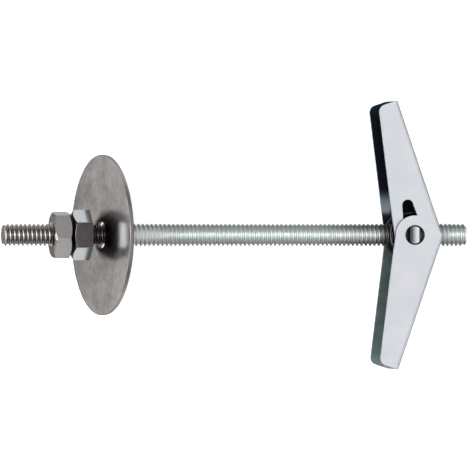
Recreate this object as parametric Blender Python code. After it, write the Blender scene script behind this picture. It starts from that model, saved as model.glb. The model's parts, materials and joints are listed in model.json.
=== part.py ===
"""Spring toggle fixing: a threaded rod with two hex nuts and a wide washer at one end, and a
two-winged spring toggle at the other.

The pieces are modelled about the rod, which runs along +X from its outer end. The wings turn about
an axis along Z. Everything hangs on one empty, which lays the fixing down on a floor at z = 0, as it
comes to rest: on the washer's rim, on one wing's end at the rod and on the other wing's tip.
"""

import math

import bmesh
import bpy
import numpy as np
from mathutils import Matrix, Vector

MM = 0.001

# Gaps between pieces
GAP = 0.3 * MM
THREAD_GAP = 0.3 * MM
EAR_GAP = 0.35 * MM
NOTCH_GAP = 0.6 * MM

# Threaded rod
ROD_DIAMETER = 4.8 * MM
ROD_LENGTH = 101.6 * MM
ROD_CHAMFER = 0.5 * MM

# Hex nuts
NUT_ACROSS_FLATS = 9.4 * MM
NUT_THICKNESS = 4.0 * MM
NUT_CHAMFER_ANGLE = math.radians(30)
NUT_FACE_SHARE = 0.94
OUTER_NUT_X = 10.65 * MM
OUTER_NUT_TURN = math.radians(8)
INNER_NUT_TURN = math.radians(30)

# Washer
WASHER_DIAMETER = 34.5 * MM
WASHER_THICKNESS = 0.9 * MM
WASHER_EDGE_RADIUS = 0.15 * MM
WASHER_FROM_NUT = 2.85 * MM
WASHER_LEAN = math.radians(11.5)

# Toggle wings, folded from sheet
PIVOT_FROM_END = 12.5 * MM
SHEET = 0.75 * MM
TOGGLE_WIDTH = 12.5 * MM
WEB_DISTANCE = 6.1 * MM
WING_LENGTH = 28.6 * MM
WING_LEAN = math.radians(19)
WING_FOLD = math.radians(74)
LUG_RADIUS = 4.2 * MM
TIP_WIDTH = 4.35 * MM
TIP_CORNER_RADIUS = 1.5 * MM
BEND_RADIUS = 0.9 * MM
SLOT_RADIUS = 1.25 * MM
SLOT_ALONG = 6.5 * MM
SLOT_ACROSS = 0.8 * MM
NOTCH_CORNER_RADIUS = 1.2 * MM

# Trunnion nut
EAR_RADIUS = 1.8 * MM
EAR_THICKNESS = 2.0 * MM
EAR_RECESS = 0.25 * MM
TRUNNION_CHAMFER = 0.3 * MM

# Torsion spring
WIRE = 0.6 * MM
FREE_LEG = 13.0 * MM
LOOP_LEG = 10.0 * MM
LOOP_CORNER_RADIUS = 1.0 * MM

# Sizes that follow from those above
ROD_RADIUS = ROD_DIAMETER / 2
THREAD_BORE = ROD_RADIUS + THREAD_GAP
INNER_NUT_X = OUTER_NUT_X + NUT_THICKNESS + GAP
WASHER_X = INNER_NUT_X + NUT_THICKNESS + WASHER_FROM_NUT
PIVOT_X = ROD_LENGTH - PIVOT_FROM_END
EAR_HOLE = EAR_RADIUS + EAR_GAP
OUTER_FLANGE_IN = TOGGLE_WIDTH / 2 - SHEET
INNER_FLANGE_OUT = OUTER_FLANGE_IN - GAP
INNER_FLANGE_IN = INNER_FLANGE_OUT - SHEET
WEB_INSIDE = WEB_DISTANCE - SHEET
SPRING_RADIUS = WEB_INSIDE - GAP - WIRE / 2
TRUNNION_RADIUS = SPRING_RADIUS - WIRE / 2 - GAP
TRUNNION_HALF = INNER_FLANGE_IN - GAP
WASHER_HOLE = (ROD_RADIUS + GAP + WASHER_THICKNESS / 2 * math.sin(WASHER_LEAN)) / math.cos(WASHER_LEAN)

# Facets
ROD_SEGMENTS = 64
WASHER_SEGMENTS = 96
BEND_SEGMENTS = 6
ARC_STEP = math.radians(7.5)
WELD = 1e-7


def clear_scene():
    for obj in list(bpy.data.objects):
        bpy.data.objects.remove(obj, do_unlink=True)


def make_material(name, colour, roughness, metallic=1.0):
    material = bpy.data.materials.new(name)
    material.use_nodes = True
    shader = material.node_tree.nodes["Principled BSDF"]
    shader.inputs["Base Color"].default_value = (*colour, 1.0)
    shader.inputs["Roughness"].default_value = roughness
    shader.inputs["Metallic"].default_value = metallic
    return material


def add_object(name, bm, material=None):
    """Turn a bmesh into an object, with its faces pointing out and its round faces smooth."""
    bmesh.ops.remove_doubles(bm, verts=bm.verts, dist=WELD)
    bmesh.ops.recalc_face_normals(bm, faces=bm.faces)
    mesh = bpy.data.meshes.new(name)
    bm.to_mesh(mesh)
    bm.free()
    if material:
        mesh.materials.append(material)
    obj = bpy.data.objects.new(name, mesh)
    bpy.context.scene.collection.objects.link(obj)
    return obj


def smooth(obj, angle=math.radians(25)):
    obj.data.shade_smooth()
    obj.data.set_sharp_from_angle(angle=angle)


def combine(obj, tool, operation):
    """Run one Boolean between two objects, keep its result in the first and remove the second."""
    modifier = obj.modifiers.new("combine", "BOOLEAN")
    modifier.object = tool
    modifier.operation = operation
    modifier.solver = "EXACT"
    bpy.context.view_layer.update()
    depsgraph = bpy.context.evaluated_depsgraph_get()
    result = bpy.data.meshes.new_from_object(obj.evaluated_get(depsgraph))
    obj.modifiers.clear()
    obj.data = result
    bpy.data.objects.remove(tool, do_unlink=True)


def cut(obj, tool):
    combine(obj, tool, "DIFFERENCE")


def arc(centre, radius, start, end):
    """Points along an arc, both ends included, turning the short way from start to end."""
    count = max(2, math.ceil(abs(end - start) / ARC_STEP))
    angles = [start + (end - start) * i / count for i in range(count + 1)]
    return [(centre[0] + radius * math.cos(a), centre[1] + radius * math.sin(a)) for a in angles]


def prism(name, outline, low, high, material=None):
    """Extrude an outline in the XY plane from one height to another."""
    bm = bmesh.new()
    face = bm.faces.new([bm.verts.new((x, y, low)) for x, y in outline])
    grown = bmesh.ops.extrude_face_region(bm, geom=[face])
    top = [item for item in grown["geom"] if isinstance(item, bmesh.types.BMVert)]
    bmesh.ops.translate(bm, verts=top, vec=(0, 0, high - low))
    return add_object(name, bm, material)


def turned(name, profile, closed, segments, material=None):
    """Spin a profile of (x, radius) points about the X axis. A closed profile makes a ring."""
    bm = bmesh.new()
    verts = [bm.verts.new((x, 0, -r)) for x, r in profile]
    pairs = list(zip(verts, verts[1:]))
    if closed:
        pairs.append((verts[-1], verts[0]))
    edges = [bm.edges.new(pair) for pair in pairs]
    bmesh.ops.spin(bm, geom=verts + edges, cent=(0, 0, 0), axis=(1, 0, 0), angle=math.tau,
                   steps=segments, use_merge=True)
    return add_object(name, bm, material)


def box(name, low, high):
    outline = [(low[0], low[1]), (high[0], low[1]), (high[0], high[1]), (low[0], high[1])]
    return prism(name, outline, low[2], high[2])


def cylinder_along_z(name, radius, low, high):
    circle = arc((0, 0), radius, 0, math.tau)[:-1]
    return prism(name, circle, low, high)


def bar_along_x(name, radius, low, high):
    profile = [(low, 0), (low, radius), (high, radius), (high, 0)]
    return turned(name, profile, False, ROD_SEGMENTS)


def round_edges(obj, chosen, radius, segments=BEND_SEGMENTS):
    """Round the edges that pass the test at both ends and in the middle."""
    bm = bmesh.new()
    bm.from_mesh(obj.data)
    edges = []
    for edge in bm.edges:
        start, end = (vert.co for vert in edge.verts)
        if all(chosen(place) for place in (start, end, (start + end) / 2)):
            edges.append(edge)
    bmesh.ops.bevel(bm, geom=edges, offset=radius, offset_type="OFFSET", segments=segments,
                    profile=0.5, affect="EDGES", material=-1)
    bm.to_mesh(obj.data)
    bm.free()


def make_rod(material):
    profile = [
        (0, 0),
        (0, ROD_RADIUS - ROD_CHAMFER),
        (ROD_CHAMFER, ROD_RADIUS),
        (ROD_LENGTH - ROD_CHAMFER, ROD_RADIUS),
        (ROD_LENGTH, ROD_RADIUS - ROD_CHAMFER),
        (ROD_LENGTH, 0),
    ]
    rod = turned("threaded_rod", profile, False, ROD_SEGMENTS, material)
    smooth(rod)
    return rod


def make_nut(name, face_x, turn, material):
    """A hex nut with both faces chamfered. Its first corner lies at the given turn from +Z."""
    corner = NUT_ACROSS_FLATS / 2 / math.cos(math.radians(30))
    bm = bmesh.new()
    angles = [turn + math.radians(60) * k for k in range(6)]
    ring = [bm.verts.new((0, -corner * math.sin(a), corner * math.cos(a))) for a in angles]
    grown = bmesh.ops.extrude_face_region(bm, geom=[bm.faces.new(ring)])
    far = [item for item in grown["geom"] if isinstance(item, bmesh.types.BMVert)]
    bmesh.ops.translate(bm, verts=far, vec=(NUT_THICKNESS, 0, 0))
    nut = add_object(name, bm, material)

    face_radius = NUT_ACROSS_FLATS / 2 * NUT_FACE_SHARE
    wide = corner * 1.1
    depth = (wide - face_radius) * math.tan(NUT_CHAMFER_ANGLE)
    profile = [
        (0, 0),
        (0, face_radius),
        (depth, wide),
        (NUT_THICKNESS - depth, wide),
        (NUT_THICKNESS, face_radius),
        (NUT_THICKNESS, 0),
    ]
    combine(nut, turned("nut_cones", profile, False, WASHER_SEGMENTS), "INTERSECT")
    cut(nut, bar_along_x("nut_bore", THREAD_BORE, -NUT_THICKNESS, 2 * NUT_THICKNESS))
    smooth(nut)
    nut.location.x = face_x
    return nut


def make_washer(material):
    """A flat ring with slightly rounded edges, leaning on the rod with its top towards +X."""
    half = WASHER_THICKNESS / 2
    edge = WASHER_EDGE_RADIUS
    inner = WASHER_HOLE + edge
    outer = WASHER_DIAMETER / 2 - edge
    quarter = math.pi / 2
    corners = [
        (half - edge, outer, quarter, 0),
        (half - edge, inner, 0, -quarter),
        (edge - half, inner, -quarter, -2 * quarter),
        (edge - half, outer, -2 * quarter, -3 * quarter),
    ]
    profile = []
    for x, radius, start, end in corners:
        profile += [(x + edge * math.cos(start + (end - start) * k / 2),
                     radius + edge * math.sin(start + (end - start) * k / 2)) for k in range(3)]
    washer = turned("washer", profile, True, WASHER_SEGMENTS, material)
    smooth(washer)
    washer.rotation_euler.y = WASHER_LEAN
    washer.location.x = WASHER_X
    return washer


def wing_outline():
    """Side view of a wing about its pivot: X runs out to the web's outer face, Y runs to the tip."""
    front = WEB_DISTANCE - TIP_WIDTH
    # The front edge runs from the tip's front corner, tangent to the round lug
    corner = Vector((front, WING_LENGTH))
    touch = math.atan2(corner.y, corner.x) + math.acos(LUG_RADIUS / corner.length)
    along = (Vector((LUG_RADIUS * math.cos(touch), LUG_RADIUS * math.sin(touch))) - corner).normalized()
    # The tip's front corner is rounded between the end cut and the front edge
    half = math.acos(along.x) / 2
    reach = TIP_CORNER_RADIUS / math.tan(half)
    centre = (corner.x + reach, corner.y - TIP_CORNER_RADIUS)
    tip_arc = arc(centre, TIP_CORNER_RADIUS, math.pi / 2, math.pi / 2 + math.pi - 2 * half)
    # The web ends just short of the other wing's web, on the plane that both webs meet at
    apex_y = (GAP / 2 - WEB_DISTANCE * math.sin(WING_LEAN)) / math.cos(WING_LEAN)
    apex = Vector((WEB_DISTANCE, apex_y))
    leave = math.atan2(apex.y, apex.x) - math.acos(LUG_RADIUS / apex.length)
    lug_arc = arc((0, 0), LUG_RADIUS, touch, leave + math.tau)
    return [(WEB_DISTANCE, WING_LENGTH)] + tip_arc + lug_arc + [tuple(apex)]


def slot_outline():
    """The tear-drop: the pivot hole and a smaller round end, joined by their common tangents."""
    offset = Vector((SLOT_ACROSS, SLOT_ALONG))
    heading = math.atan2(offset.y, offset.x)
    spread = math.acos((EAR_HOLE - SLOT_RADIUS) / offset.length)
    big = arc((0, 0), EAR_HOLE, heading + spread, heading - spread + math.tau)
    small = arc(offset, SLOT_RADIUS, heading - spread, heading + spread)
    return big + small


def make_wing_mesh(material):
    """One wing as pressed: a channel with an outer flange below and an inner flange above."""
    low = -TOGGLE_WIDTH / 2
    high = INNER_FLANGE_OUT
    wing = prism("wing", wing_outline(), low, high, material)
    round_edges(wing, lambda co: abs(co.x - WEB_DISTANCE) < WELD and
                (abs(co.z - low) < WELD or abs(co.z - high) < WELD), BEND_RADIUS)

    far = 2 * WING_LENGTH
    channel = box("channel", (-far, -far, -OUTER_FLANGE_IN), (WEB_INSIDE, far, INNER_FLANGE_IN))
    inside_bend = max(BEND_RADIUS - SHEET, SHEET / 5)
    round_edges(channel, lambda co: abs(co.x - WEB_INSIDE) < WELD and
                (abs(co.z + OUTER_FLANGE_IN) < WELD or abs(co.z - INNER_FLANGE_IN) < WELD), inside_bend, 3)
    cut(wing, channel)

    # Past the plane where the webs meet, the web and the inner flange keep only the round lug
    meet = -WING_LEAN
    step = Vector((math.sin(WING_LEAN), math.cos(WING_LEAN))) * GAP / 2
    on_lug = meet + math.asin(GAP / 2 / LUG_RADIUS)
    start = Vector((math.cos(on_lug), math.sin(on_lug))) * LUG_RADIUS
    out = Vector((math.cos(meet), math.sin(meet))) * far + step
    lug_side = arc((0, 0), LUG_RADIUS, -math.radians(100), on_lug)[:-1]
    trim = [tuple(out), (out.x, -far), (lug_side[0][0], -far)] + lug_side + [tuple(start)]
    cut(wing, prism("apex_trim", trim[::-1], -OUTER_FLANGE_IN, far))

    # A notch in the web clears the rod
    notch_half = ROD_RADIUS + NOTCH_GAP
    inside_angle = (ROD_RADIUS + NOTCH_GAP - WEB_INSIDE * math.sin(WING_LEAN)) / math.cos(WING_LEAN)
    notch = box("notch", (LUG_RADIUS, -far, -notch_half), (far, inside_angle, notch_half))
    round_edges(notch, lambda co: abs(co.y - inside_angle) < WELD, NOTCH_CORNER_RADIUS)
    cut(wing, notch)

    cut(wing, cylinder_along_z("ear_hole", EAR_HOLE, -far, far))
    cut(wing, prism("slot", slot_outline(), 0, far))
    smooth(wing)
    mesh = wing.data
    mesh.name = "wing"
    bpy.data.objects.remove(wing, do_unlink=True)
    return mesh


def make_wing(name, mesh, half_turn):
    """Both wings are the same pressing: the lower one is turned half round about the rod."""
    wing = bpy.data.objects.new(name, mesh)
    bpy.context.scene.collection.objects.link(wing)
    turn = Matrix.Rotation(math.pi if half_turn else 0, 4, "X")
    wing.matrix_basis = Matrix.Translation((PIVOT_X, 0, 0)) @ turn @ Matrix.Rotation(WING_LEAN, 4, "Z")
    return wing


def make_trunnion(material):
    """A short drum across the rod, with a threaded hole through it and a flat ear at each end."""
    trunnion = cylinder_along_z("trunnion_nut", TRUNNION_RADIUS, -TRUNNION_HALF, TRUNNION_HALF)
    trunnion.data.materials.append(material)
    round_edges(trunnion, lambda co: abs(abs(co.z) - TRUNNION_HALF) < WELD, TRUNNION_CHAMFER, 1)
    reach = TOGGLE_WIDTH / 2 - EAR_RECESS
    flat = math.acos(EAR_THICKNESS / 2 / EAR_RADIUS)
    outline = arc((0, 0), EAR_RADIUS, flat, math.pi - flat)
    outline += arc((0, 0), EAR_RADIUS, math.pi + flat, math.tau - flat)
    combine(trunnion, prism("ears", outline, -reach, reach), "UNION")
    cut(trunnion, bar_along_x("trunnion_bore", THREAD_BORE, -2 * TRUNNION_RADIUS, 2 * TRUNNION_RADIUS))
    smooth(trunnion)
    trunnion.location.x = PIVOT_X
    return trunnion


def spring_half():
    """Centre line of the spring's upper half, from the free leg's end to the middle of the loop."""
    outer_pass = INNER_FLANGE_IN - GAP - WIRE / 2
    inner_pass = ROD_RADIUS + GAP + WIRE / 2

    def leg(angle, side, reach, height):
        across = Vector((math.cos(angle), math.sin(angle), 0)) * SPRING_RADIUS
        along = Vector((-math.sin(angle), math.cos(angle), 0)) * side * reach
        return across + along + Vector((0, 0, height))

    points = [leg(WING_LEAN, 1, FREE_LEG * k / 6, outer_pass) for k in range(6, 0, -1)]
    start = WING_LEAN
    end = -math.tau - WING_LEAN
    # The stretches that the legs wind off as the wings fold stay level
    step_start = start - WING_FOLD
    step_end = end + WING_FOLD
    count = math.ceil((start - end) / ARC_STEP)
    for k in range(count + 1):
        angle = start + (end - start) * k / count
        share = (step_start - angle) / (step_start - step_end)
        share = min(max(share, 0), 1)
        share = share * share * (3 - 2 * share)
        height = outer_pass + (inner_pass - outer_pass) * share
        points.append(Vector((SPRING_RADIUS * math.cos(angle), SPRING_RADIUS * math.sin(angle), height)))
    straight = LOOP_LEG - LOOP_CORNER_RADIUS
    points += [leg(-WING_LEAN, -1, straight * k / 4, inner_pass) for k in range(1, 5)]
    for k in range(1, 7):
        turn = math.pi / 2 * k / 6
        reach = straight + LOOP_CORNER_RADIUS * math.sin(turn)
        points.append(leg(-WING_LEAN, -1, reach, inner_pass - LOOP_CORNER_RADIUS * (1 - math.cos(turn))))
    return points


def make_spring(material):
    """One wire: a free leg and a coil at each end of the drum, and a loop that joins the coils."""
    upper = spring_half()
    lower = [Vector((p.x, p.y, -p.z)) for p in reversed(upper)]
    curve = bpy.data.curves.new("torsion_spring", "CURVE")
    curve.dimensions = "3D"
    curve.bevel_depth = WIRE / 2
    curve.bevel_resolution = 3
    curve.use_fill_caps = True
    spline = curve.splines.new("POLY")
    points = upper + lower
    spline.points.add(len(points) - 1)
    for place, point in zip(points, spline.points):
        point.co = (*place, 1)
    curve.materials.append(material)
    spring = bpy.data.objects.new("torsion_spring", curve)
    bpy.context.scene.collection.objects.link(spring)
    spring.location.x = PIVOT_X
    return spring


def model_points(pieces):
    """Every vertex of the finished pieces, about the rod."""
    bpy.context.view_layer.update()
    depsgraph = bpy.context.evaluated_depsgraph_get()
    clouds = []
    for piece in pieces:
        evaluated = piece.evaluated_get(depsgraph)
        mesh = evaluated.to_mesh()
        local = np.empty(len(mesh.vertices) * 3)
        mesh.vertices.foreach_get("co", local)
        evaluated.to_mesh_clear()
        matrix = np.array(piece.matrix_world)
        clouds.append(local.reshape(-1, 3) @ matrix[:3, :3].T + matrix[:3, 3])
    return np.vstack(clouds)


def best(function, low, high):
    """Where a function with one peak is highest."""
    for _ in range(60):
        left = low + (high - low) / 3
        right = high - (high - low) / 3
        if function(left) < function(right):
            low = left
        else:
            high = right
    return (low + high) / 2


def resting_plane(points, centre):
    """Slopes along X and Y of the plane that the points rest on when let down under the centre."""

    def height(slope_x, slope_y):
        clear = points[:, 2] - slope_x * (points[:, 0] - centre[0]) - slope_y * (points[:, 1] - centre[1])
        return clear.min()

    def best_x(slope_y):
        return best(lambda slope_x: height(slope_x, slope_y), -0.5, 0.5)

    slope_y = best(lambda slope: height(best_x(slope), slope), -0.3, 0.3)
    return best_x(slope_y), slope_y


def lay_down(pieces, rig):
    """Turn and place the rig so that the pieces rest on z = 0, centred over the origin."""
    points = model_points(pieces)
    slope_x, slope_y = resting_plane(points, (ROD_LENGTH / 2, 0))
    normal = Vector((-slope_x, -slope_y, 1)).normalized()
    forward = (Vector((1, 0, 0)) - normal * normal.x).normalized()
    turn = Matrix((forward, normal.cross(forward), normal))
    points = points @ np.array(turn).T
    low = points.min(axis=0)
    high = points.max(axis=0)
    place = Vector((-(low[0] + high[0]) / 2, -(low[1] + high[1]) / 2, -low[2]))
    rig.matrix_basis = Matrix.Translation(place) @ turn.to_4x4()


def main():
    clear_scene()
    zinc_rod = make_material("zinc_rod", (0.62, 0.63, 0.60), 0.28)
    nut_steel = make_material("nut_steel", (0.52, 0.50, 0.50), 0.30)
    washer_steel = make_material("washer_steel", (0.50, 0.48, 0.46), 0.38)
    wing_steel = make_material("wing_steel", (0.70, 0.72, 0.76), 0.25)
    trunnion_steel = make_material("trunnion_steel", (0.60, 0.62, 0.66), 0.25)
    spring_steel = make_material("spring_steel", (0.35, 0.35, 0.36), 0.35)

    rig = bpy.data.objects.new("lying_fixing", None)
    bpy.context.scene.collection.objects.link(rig)
    wing_mesh = make_wing_mesh(wing_steel)
    pieces = [
        make_rod(zinc_rod),
        make_nut("outer_nut", OUTER_NUT_X, OUTER_NUT_TURN, nut_steel),
        make_nut("inner_nut", INNER_NUT_X, INNER_NUT_TURN, nut_steel),
        make_washer(washer_steel),
        make_trunnion(trunnion_steel),
        make_wing("upper_wing", wing_mesh, False),
        make_wing("lower_wing", wing_mesh, True),
        make_spring(spring_steel),
    ]
    lay_down(pieces, rig)
    for piece in pieces:
        piece.parent = rig
    bpy.context.view_layer.update()


main()
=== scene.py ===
"""Looks of a spring toggle fixing: thread, nuts, washer, folded wings, cross nut and spring."""

import json
import math

import bmesh
import bpy
from mathutils import Matrix, Vector


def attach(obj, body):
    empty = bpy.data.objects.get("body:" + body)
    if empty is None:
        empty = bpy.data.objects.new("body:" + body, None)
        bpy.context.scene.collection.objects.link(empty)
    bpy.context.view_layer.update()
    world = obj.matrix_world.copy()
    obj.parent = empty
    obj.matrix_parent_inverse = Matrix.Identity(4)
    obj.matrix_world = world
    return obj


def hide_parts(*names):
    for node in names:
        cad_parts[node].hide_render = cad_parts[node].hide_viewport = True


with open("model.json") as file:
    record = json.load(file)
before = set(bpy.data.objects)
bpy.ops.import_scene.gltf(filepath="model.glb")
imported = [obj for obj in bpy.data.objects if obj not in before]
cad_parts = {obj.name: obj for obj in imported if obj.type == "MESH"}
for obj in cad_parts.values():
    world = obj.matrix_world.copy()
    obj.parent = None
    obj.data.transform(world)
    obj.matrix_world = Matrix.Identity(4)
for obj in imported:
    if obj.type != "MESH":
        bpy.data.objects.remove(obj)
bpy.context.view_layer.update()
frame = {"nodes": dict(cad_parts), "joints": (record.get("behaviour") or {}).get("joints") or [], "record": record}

bl_info = {
    "name": "Spring toggle fixing",
    "version": (1, 0, 0),
    "blender": (4, 5, 0),
    "location": "View3D > Sidebar > Fixing",
    "description": "Models and finishes a spring toggle on a threaded rod, with its nuts and washer",
    "category": "Add Mesh",
}

MM = 0.001
RIGHT_ANGLE = math.pi / 2
# From the middle of a hexagon's side round to its corner
HEX_TURN = math.radians(30)

# Passivated plate stays duller than bare metal where it is seen along its face
GLANCING = (0.35, 0.35, 0.35, 1.0)
WHITE = (1.0, 1.0, 1.0, 1.0)

JOINTS = {joint["name"]: joint for joint in frame["joints"]}
MOUNTS = {mount["name"]: mount for mount in frame["record"]["mounts"]}

# The rod's own frame: its outer end is the origin, X runs along it and Z runs along the wings' pin
ALONG = Vector(JOINTS["toggle_travel"]["axis"]).normalized()
PIN = Vector(JOINTS["upper_wing_fold"]["axis"]).normalized()
ACROSS = PIN.cross(ALONG).normalized()
OUTER_END = Vector(MOUNTS["rod_outer_end"]["pos_m"])
TURN = Matrix((ALONG, ACROSS, ALONG.cross(ACROSS))).transposed()
ROD_FRAME = Matrix.Translation(OUTER_END) @ TURN.to_4x4()
TO_ROD = ROD_FRAME.inverted()
PIVOT = TO_ROD @ Vector(JOINTS["upper_wing_fold"]["pos_m"])
FOLD = math.radians(JOINTS["upper_wing_fold"]["range_deg"][1])


def reach_along_rod(node):
    """Lowest and highest place of a CAD node along the rod, in the rod's frame."""
    places = [(TO_ROD @ vert.co).x for vert in frame["nodes"][node].data.vertices]
    return min(places), max(places)


ROD_SPAN = reach_along_rod("threaded_rod")
OUTER_NUT_SPAN = reach_along_rod("outer_nut")
INNER_NUT_SPAN = reach_along_rod("inner_nut")
WASHER_AXIS = TO_ROD.to_3x3() @ Vector(MOUNTS["washer_bearing_face"]["axis"])
WASHER_MIDDLE = sum(reach_along_rod("washer")) / 2


def length(name, default, description):
    return bpy.props.FloatProperty(name=name, description=description, default=default, min=0.0,
                                   subtype="DISTANCE", unit="LENGTH", precision=5)


def angle(name, default, description):
    return bpy.props.FloatProperty(name=name, description=description, default=default,
                                   subtype="ANGLE", unit="ROTATION")


def share(name, default, description):
    return bpy.props.FloatProperty(name=name, description=description, default=default, min=0.0,
                                   max=1.0, subtype="FACTOR")


def colour(name, default, description):
    return bpy.props.FloatVectorProperty(name=name, description=description, default=default, size=3,
                                         min=0.0, max=1.0, subtype="COLOR")


def count(name, default, description):
    return bpy.props.IntProperty(name=name, description=description, default=default, min=3)


def strength(name, default, description):
    return bpy.props.FloatProperty(name=name, description=description, default=default, min=0.0)


class RodSettings(bpy.types.PropertyGroup):
    diameter: length("Diameter", 4.8 * MM, "Over the thread's crests")
    pitch: length("Pitch", 0.95 * MM, "From one crest to the next")
    depth: length("Thread depth", 0.50 * MM, "From crest to root")
    chamfer: length("End chamfer", 0.5 * MM, "Taken off the thread at both ends")
    facets: count("Facets", 40, "Steps in one turn of thread")
    colour: colour("Colour", (0.71, 0.76, 0.75), "Zinc plate on the crests")
    # Painted shade: the roots are painted darker than the crests
    root_colour: colour("Root colour", (0.66, 0.71, 0.70), "Plate in the roots")
    # Painted light on the crests just past the washer, which shades them
    covered: colour("Covered colour", (0.97, 1.0, 0.99), "Clean plate next to where the washer sits")
    # Painted shade on the thread by the nuts and by the cross nut
    dull: colour("Dull colour", (0.62, 0.60, 0.59), "Crests near the nuts and the cross nut")
    dull_root: colour("Dull root colour", (0.14, 0.125, 0.12), "Roots near the nuts and the cross nut")
    # Painted shade on the thread's two sides by the nuts
    rubbed: colour("Rubbed colour", (0.20, 0.185, 0.18), "Thread's two sides near the nuts")
    # Painted shade on the rod's two sides
    side: share("Side shade", 0.66, "How much duller the plate is on the rod's two sides")
    side_colour: colour("Side colour", (0.035, 0.032, 0.032), "Dullest plate on the rod's two sides")
    # Painted shadow of the wings on the thread beside the cross nut
    oil: share("Oil", 0.80, "How much oil darkens the thread beside the cross nut")
    oil_colour: colour("Oil colour", (0.016, 0.013, 0.012), "Oil beside the cross nut")
    # Painted shadow on the thread between the inner nut and the washer
    smear: share("Smear", 0.75, "How much oil darkens the thread between the inner nut and the washer")
    smear_colour: colour("Smear colour", (0.030, 0.024, 0.022), "Oil between inner nut and washer")
    roughness: share("Roughness", 0.24, "Roughness of the plate")


class NutSettings(bpy.types.PropertyGroup):
    flats: length("Across flats", 9.4 * MM, "Width across two flats")
    bore: length("Bore", 4.9 * MM, "Clear hole over the rod's crests")
    countersink: length("Countersink", 5.7 * MM, "Diameter of the countersink at each face")
    face_share: share("Face", 0.94, "Washer face's diameter as a share of the width across flats")
    chamfer: angle("Chamfer", math.radians(30), "Slope of the corners' chamfer")
    edge: length("Edge radius", 0.09 * MM, "Rounding of the edges")
    outer_turn: angle("Outer nut's turn", math.radians(8), "Its corner's turn from the pin's direction")
    inner_turn: angle("Inner nut's turn", math.radians(30), "Its corner's turn from the pin's direction")
    far_face_share: share("Far face", 0.985, "Inner nut's face by the washer, over its corners' reach")
    colour: colour("Colour", (0.47, 0.45, 0.44), "Zinc plate on the outer nut's flats")
    # Painted reflection: the inner nut's two flats square to the pin are painted darker, as a dark reflection
    inner_dark_reflection: colour("Inner nut's colour", (0.27, 0.235, 0.238), "Handled plate on its top flat")
    inner_plain: colour("Clean colour", (0.38, 0.40, 0.41), "Cleaner plate on its other flats")
    turned: colour("Turned colour", (0.15, 0.14, 0.135), "Duller plate on the turned faces and chamfers")
    # Painted shade between the two nuts
    dirt: colour("Dirt colour", (0.040, 0.036, 0.036), "Oil and dirt between the two nuts")
    # Painted highlight: a bright glint on the outer nut's corner
    worn: colour("Worn colour", (0.95, 0.95, 0.94), "Bare bright spot on the outer nut's corner")
    roughness: share("Roughness", 0.13, "Roughness of the plate")


class WasherSettings(bpy.types.PropertyGroup):
    diameter: length("Diameter", 34.5 * MM, "Outer diameter")
    hole: length("Hole", 5.85 * MM, "Diameter of the punched hole")
    thickness: length("Thickness", 0.9 * MM, "Thickness of the sheet")
    edge: length("Edge radius", 0.16 * MM, "Rounding of the punched edges")
    colour: colour("Colour", (0.262, 0.248, 0.243), "Satin plate")
    # Painted shade along the washer's arrises
    rim: share("Rim shade", 0.8, "How much darker the punched edges are")
    rim_colour: colour("Rim colour", (0.02, 0.02, 0.02), "Rolled-over arrises")
    lip: share("Lip", 0.8, "Brightness of the rim next to the face's")
    # Painted shadow of the rod and nut, and the rod's painted reflection, round the hole
    grime: share("Grime", 0.80, "How much darker the plate is right round the rod")
    grime_colour: colour("Grime colour", (0.022, 0.013, 0.013), "Oil from the thread")
    # Painted reflection of the inner nut on the washer's face
    clean: colour("Clean colour", (0.296, 0.335, 0.328), "Cooler plate between the oil and the rim")
    roughness: share("Roughness", 0.24, "Roughness of the plate")


class WingSettings(bpy.types.PropertyGroup):
    sheet: length("Sheet", 0.75 * MM, "Thickness of the pressed sheet")
    width: length("Width", 12.5 * MM, "Over both wings' outer flanges, along the pin")
    gap: length("Gap", 0.3 * MM, "Between one wing's outer flange and the other's inner flange")
    web: length("Web distance", 6.1 * MM, "From the pin to the web's outer face")
    length: length("Length", 28.6 * MM, "From the pin to the tip, along the web")
    lean: angle("Lean", math.radians(19), "Lean of an open wing back from square to the rod")
    lug: length("Lug radius", 4.2 * MM, "Radius of the round end about the pin")
    tip: length("Tip width", 4.35 * MM, "Width of the flanges at the tip")
    tip_corner: length("Tip corner", 1.5 * MM, "Radius of the tip's front corner")
    bend: length("Bend", 0.9 * MM, "Outer radius of the two folds")
    hole: length("Ear hole", 2.15 * MM, "Radius of the hole for the cross nut's ear")
    slot: length("Slot end", 1.25 * MM, "Radius of the tear-drop's small end")
    slot_along: length("Slot reach", 6.5 * MM, "From the pin to the small end, along the wing")
    slot_across: length("Slot offset", 0.8 * MM, "From the pin to the small end, towards the web")
    notch: length("Notch", 3.0 * MM, "Half the width of the web's notch for the rod")
    notch_corner: length("Notch corner", 1.2 * MM, "Radius of the notch's two corners")
    edge: length("Edge radius", 0.07 * MM, "Rounding of the sheared edges")
    colour: colour("Colour", (0.650, 0.690, 0.725), "Blue-white zinc plate")
    warm: colour("Warm colour", (0.700, 0.690, 0.735), "Faint pink bloom in the plate")
    # Painted shade inside the channel, darkest in the upper wing
    inside: colour("Inside colour", (0.034, 0.046, 0.066), "Duller plate inside the upper wing")
    wiped: colour("Wiped colour", (0.38, 0.45, 0.52), "Brighter patch inside, by the pin")
    inside_lower: colour("Lower inside colour", (0.32, 0.38, 0.38), "Duller plate inside the lower wing")
    # Painted shade over the folds, where they turn away
    fold: colour("Fold colour", (0.085, 0.095, 0.098), "Plate drawn thin over the upper wing's folds")
    fold_lower: colour("Lower fold colour", (0.20, 0.21, 0.22), "Plate over the lower wing's folds")
    roughness: share("Roughness", 0.30, "Roughness of the plate")
    inside_roughness: share("Inside roughness", 0.31, "Roughness of the plate inside the channel")


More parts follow.
